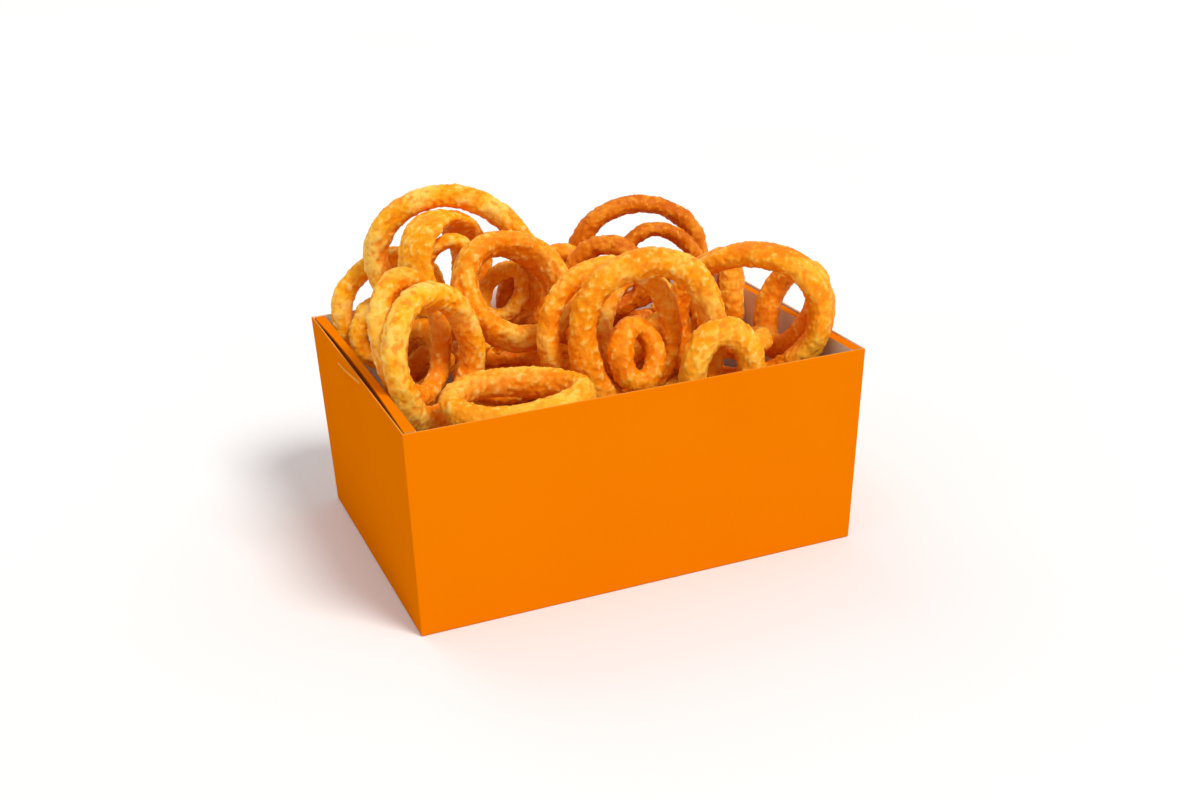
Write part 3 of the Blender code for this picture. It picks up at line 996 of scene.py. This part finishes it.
@dataclass
class Carton:
    """The paperboard carton and its two folded ends, with a crease in the left one.

    The crease's points and patches are given by y and z on the left end's outer side.
    """

    fold_nodes: tuple[str, ...] = ("end_fold_left", "end_fold_right")
    flat_angle: float = 1.0
    fold_angle: float = 50.0
    fold_radius: float = 0.35 * MM
    fold_steps: int = 2
    square_on: float = 0.9
    slanting: float = 0.5
    rim_depth: float = 1.0 * MM
    cut_area: float = 20 * MM * MM
    crease: tuple[PanelPoint, ...] = (
        (26.6 * MM, 84.2 * MM),
        (14.4 * MM, 84.9 * MM),
        (-12.2 * MM, 88.4 * MM),
    )
    crease_margin: float = 4 * MM
    crease_edge: float = 0.1 * MM
    crease_top: float = 89.2 * MM
    crease_side: float = -95 * MM
    crease_cuts: int = 60
    crease_lift: float = 0.35 * MM
    crease_width: float = 0.7 * MM
    dent_depth: float = 0.25 * MM
    dent_away: float = 1.9 * MM
    dent_width: float = 0.9 * MM
    scuff_from: float = 0.6
    shell: bpy.types.Object | None = field(default=None, init=False, repr=False)
    folds: list[bpy.types.Object] = field(default_factory=list, init=False, repr=False)

    def build(self, frame: dict) -> None:
        """Join the board's flat faces, round the carton's folds and lift the crease.

        Args:
            frame: The loaded frame.
        """
        self.shell = merged_copy(frame["nodes"]["carton"], "carton_board")
        self.folds = [merged_copy(frame["nodes"][name], f"{name}_board") for name in self.fold_nodes]
        for piece in (self.shell, *self.folds):
            activate(piece)
            bpy.ops.object.mode_set(mode="EDIT")
            bpy.ops.mesh.select_all(action="SELECT")
            bpy.ops.mesh.dissolve_limited(angle_limit=math.radians(self.flat_angle))
            bpy.ops.object.mode_set(mode="OBJECT")
        rounding = self.shell.modifiers.new("rounded folds", "BEVEL")
        rounding.width = self.fold_radius
        rounding.segments = self.fold_steps
        rounding.limit_method = "ANGLE"
        rounding.angle_limit = math.radians(self.fold_angle)
        apply_modifiers(self.shell)
        low, high = self.crease_patch()
        self.cut_patch(low, high)
        self.lift_crease(low, high)

    def crease_patch(self) -> tuple[PanelPoint, PanelPoint]:
        """Find the patch of the left end's outer side that holds the crease.

        Returns:
            The patch's lowest and its highest y and z.
        """
        across, above = zip(*self.crease)
        low = (min(across) - self.crease_margin, min(above) - self.crease_margin)
        high = (max(across) + self.crease_margin, min(max(above) + self.crease_margin, self.crease_top))
        return low, high

    def select_left_panel(self, low: PanelPoint, high: PanelPoint) -> None:
        """Select the faces of the left end's outer side whose middles are in a patch.

        Args:
            low: The patch's lowest y and z.
            high: Its highest y and z.
        """
        activate(self.shell)
        for polygon in self.shell.data.polygons:
            x, y, z = polygon.center
            on_panel = polygon.normal.x < -self.square_on and x < self.crease_side
            polygon.select = on_panel and low[0] < y < high[0] and low[1] < z < high[1]

    def cut_patch(self, low: PanelPoint, high: PanelPoint) -> None:
        """Cut a patch free of the left end's outer side and divide it finely.

        Args:
            low: The patch's lowest y and z.
            high: Its highest y and z.
        """
        for axis, direction in enumerate(((0.0, 1.0, 0.0), (0.0, 0.0, 1.0))):
            for limit in (low[axis], high[axis]):
                self.select_left_panel((-math.inf, -math.inf), (math.inf, math.inf))
                bpy.ops.object.mode_set(mode="EDIT")
                bpy.ops.mesh.bisect(plane_co=tuple(part * limit for part in direction), plane_no=direction)
                bpy.ops.object.mode_set(mode="OBJECT")
        self.select_left_panel(low, high)
        bpy.ops.object.mode_set(mode="EDIT")
        bpy.ops.mesh.subdivide(number_cuts=self.crease_cuts)
        bpy.ops.object.mode_set(mode="OBJECT")

    def crease_distance(self, places: np.ndarray) -> np.ndarray:
        """Measure how far places lie from the crease.

        Args:
            places: One row of x, y and z for each place.

        Returns:
            Each place's distance from the nearest stretch of the crease.
        """
        away = []
        for first, last in zip(self.crease, self.crease[1:]):
            along = np.subtract(last, first)
            offset = places[:, 1:] - first
            share = np.clip(offset @ along / (along @ along), 0.0, 1.0)
            away.append(np.linalg.norm(offset - np.outer(share, along), axis=1))
        return np.minimum.reduce(away)

    def lift_crease(self, low: PanelPoint, high: PanelPoint) -> None:
        """Lift the crease, dent the board beside it and record where it is scuffed.

        Args:
            low: The crease's patch, its lowest y and z.
            high: Its highest y and z.
        """
        places = vertex_places(self.shell)
        away = self.crease_distance(places)
        inside = places[:, 0] < self.crease_side
        for axis in (0, 1):
            spot = places[:, axis + 1]
            inside &= (spot > low[axis] + self.crease_edge) & (spot < high[axis] - self.crease_edge)
        lift = np.where(inside, np.exp(-(away / self.crease_width) ** 2), 0.0)
        dent = np.where(inside, np.exp(-((away - self.dent_away) / self.dent_width) ** 2), 0.0)
        places[:, 0] -= self.crease_lift * lift
        places[:, 0] += self.dent_depth * dent
        self.shell.data.vertices.foreach_set("co", places.ravel())
        record_values(self.shell, "scuff", np.where(lift > self.scuff_from, lift, 0.0))
        self.shell.data.update()

    def dress(self, boards: dict[BoardSide, bpy.types.Material]) -> None:
        """Give each face of the board its finish and put the pieces in the frame.

        Args:
            boards: The board material of each side.
        """
        order = list(BoardSide)
        low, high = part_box("carton")
        centre = (low + high) / 2.0
        for piece in (self.shell, *self.folds):
            for side in order:
                piece.data.materials.append(boards[side])
        for polygon in self.shell.data.polygons:
            polygon.material_index = order.index(self.shell_side(polygon, centre, high.z))
        for fold in self.folds:
            for polygon in fold.data.polygons:
                polygon.material_index = order.index(self.fold_side(polygon, centre))
        for piece, node in zip((self.shell, *self.folds), ("carton", *self.fold_nodes)):
            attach(piece, BODY)
            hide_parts(node)

    def shell_side(self, polygon: bpy.types.MeshPolygon, centre: Vector, rim: float) -> BoardSide:
        """Say which side of the board a face of the shell is.

        Args:
            polygon: The face.
            centre: The middle of the carton.
            rim: The height of the cut rim.

        Returns:
            The side of the board that the face shows.
        """
        normal = polygon.normal
        if normal.z > self.square_on and polygon.center.z > rim - self.rim_depth:
            return BoardSide.CUT
        if (polygon.center - centre).normalized().dot(normal) <= 0.0:
            return BoardSide.BARE
        on_a_fold = max(abs(component) for component in normal) < self.square_on
        return BoardSide.WORN if on_a_fold else BoardSide.PRINTED

    def fold_side(self, polygon: bpy.types.MeshPolygon, centre: Vector) -> BoardSide:
        """Say which side of the board a face of a folded end is.

        Args:
            polygon: The face.
            centre: The middle of the carton.

        Returns:
            The side of the board that the face shows.
        """
        if polygon.area < self.cut_area:
            return BoardSide.CUT
        outwards = math.copysign(1.0, polygon.center.x - centre.x) * polygon.normal.x
        printed = polygon.normal.z > self.slanting or outwards > self.slanting
        return BoardSide.PRINTED if printed else BoardSide.BARE


@dataclass(frozen=True)
class Softlight:
    """One large soft light, far enough off to light everything evenly."""

    name: str
    towards: Point
    strength: float
    spread: float
    colour: Colour = (1.0, 1.0, 1.0)

    def build(self) -> None:
        """Hang the light and aim it at the carton."""
        lamp = bpy.data.lights.new(self.name, "SUN")
        lamp.energy = self.strength
        lamp.angle = math.radians(self.spread)
        lamp.color = self.colour
        item = bpy.data.objects.new(self.name, lamp)
        bpy.context.scene.collection.objects.link(item)
        item.location = self.towards
        item.rotation_euler = Vector(self.towards).to_track_quat("Z", "Y").to_euler()


@dataclass
class Studio:
    """The floor, the lights and the camera."""

    floor_size: float = 400.0
    floor_drop: float = 0.2 * MM
    floor_clouds: Blotches = Blotches(0.4, 2.0, 0.5)
    floor_shade: Colour = (0.86, 0.86, 0.865)
    floor_colour: Colour = (0.88, 0.88, 0.885)
    floor_roughness: float = 0.85
    floor_gloss: float = 0.1
    softlights: tuple[Softlight, ...] = (
        Softlight("key", (0.32, -0.66, 0.95), 2.2, 20.0, (1.0, 0.985, 0.96)),
        Softlight("back", (-0.25, 0.9, 0.9), 0.45, 40.0),
    )
    room_colour: Colour = (1.0, 0.99, 0.98)
    room_strength: float = 0.54
    eye: Point = (-0.2227, -0.5853, 0.3089)
    turn: float = -21.74
    rise: float = 21.89
    roll: float = -2.16
    lens_mm: float = 45.27
    sensor_mm: float = 36.0
    nearest: float = 0.01

    def build(self) -> None:
        """Set the studio up."""
        self.lay_floor()
        for softlight in self.softlights:
            softlight.build()
        self.fill_light()
        self.place_camera()

    def lay_floor(self) -> None:
        """Lay the plain pale floor."""
        deselect_all()
        bpy.ops.mesh.primitive_plane_add(size=self.floor_size, location=(0.0, 0.0, -self.floor_drop))
        floor = bpy.context.object
        floor.name = "studio_floor"
        graph = Graph("pale_floor")
        clouds = graph.noise(self.floor_clouds)
        graph.link(graph.ramp(clouds, NOISE_RANGE, (self.floor_shade, self.floor_colour)),
                   graph.shader.inputs["Base Color"])
        graph.shader.inputs["Roughness"].default_value = self.floor_roughness
        graph.shader.inputs["Specular IOR Level"].default_value = self.floor_gloss
        floor.data.materials.append(graph.material)

    def fill_light(self) -> None:
        """Light the whole scene softly from all round."""
        world = bpy.data.worlds.new("soft_room")
        world.use_nodes = True
        background = world.node_tree.nodes["Background"]
        background.inputs["Color"].default_value = (*self.room_colour, 1.0)
        background.inputs["Strength"].default_value = self.room_strength
        bpy.context.scene.world = world
        bpy.context.scene.view_settings.view_transform = "Standard"

    def place_camera(self) -> None:
        """Stand the camera where the photograph was taken from."""
        turn, rise, roll = (math.radians(angle) for angle in (self.turn, self.rise, self.roll))
        level_share = math.cos(rise)
        back = Vector((math.sin(turn) * level_share, -math.cos(turn) * level_share, math.sin(rise)))
        right = Vector((math.cos(turn), math.sin(turn), 0.0))
        above = back.cross(right)
        across = right * math.cos(roll) + above * math.sin(roll)
        upwards = above * math.cos(roll) - right * math.sin(roll)
        lens = bpy.data.cameras.new("camera")
        lens.lens = self.lens_mm
        lens.sensor_width = self.sensor_mm
        lens.clip_start = self.nearest
        camera = bpy.data.objects.new("camera", lens)
        bpy.context.scene.collection.objects.link(camera)
        matrix = Matrix((across, upwards, back)).transposed().to_4x4()
        matrix.translation = Vector(self.eye)
        camera.matrix_world = matrix
        bpy.context.scene.camera = camera


def fry_standing_rings(frame: dict, batters: dict[Tone, bpy.types.Material]) -> list[bpy.types.Object]:
    """Fry every standing ring of the frame.

    Args:
        frame: The loaded frame.
        batters: The batter material of each tone.

    Returns:
        The finished rings.
    """
    fried = []
    for node in sorted(frame["nodes"]):
        if node.startswith("ring_"):
            usual = Tone.AMBER if "between" in node else Tone.GOLDEN
            ring = FriedRing(node, TONES.get(node, usual))
            ring.build(frame)
            ring.dress(batters)
            fried.append(ring.piece)
    return fried


def main() -> None:
    """Build the carton, the heap and the studio, and report each piece."""
    logging.basicConfig(level=logging.INFO, format="%(message)s")
    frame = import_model()
    batters = {tone: finish.material() for tone, finish in BATTERS.items()}
    boards = {side: finish.material() for side, finish in BOARDS.items()}
    carton = Carton()
    carton.build(frame)
    carton.dress(boards)
    heap = LowerHeap()
    heap.build(frame)
    heap.dress(batters)
    food = [heap.core, *heap.rings, *fry_standing_rings(frame, batters)]
    crumbs = Crumbs()
    crumbs.build(food)
    crumbs.dress(batters)
    food.extend(crumbs.pieces)
    for piece in (carton.shell, *carton.folds, *food):
        LOG.info("%s: %d faces", piece.name, len(piece.data.polygons))
    LOG.info("batter: %d faces in all", sum(len(piece.data.polygons) for piece in food))
    Studio().build()


if __name__ == "__main__":
    main()
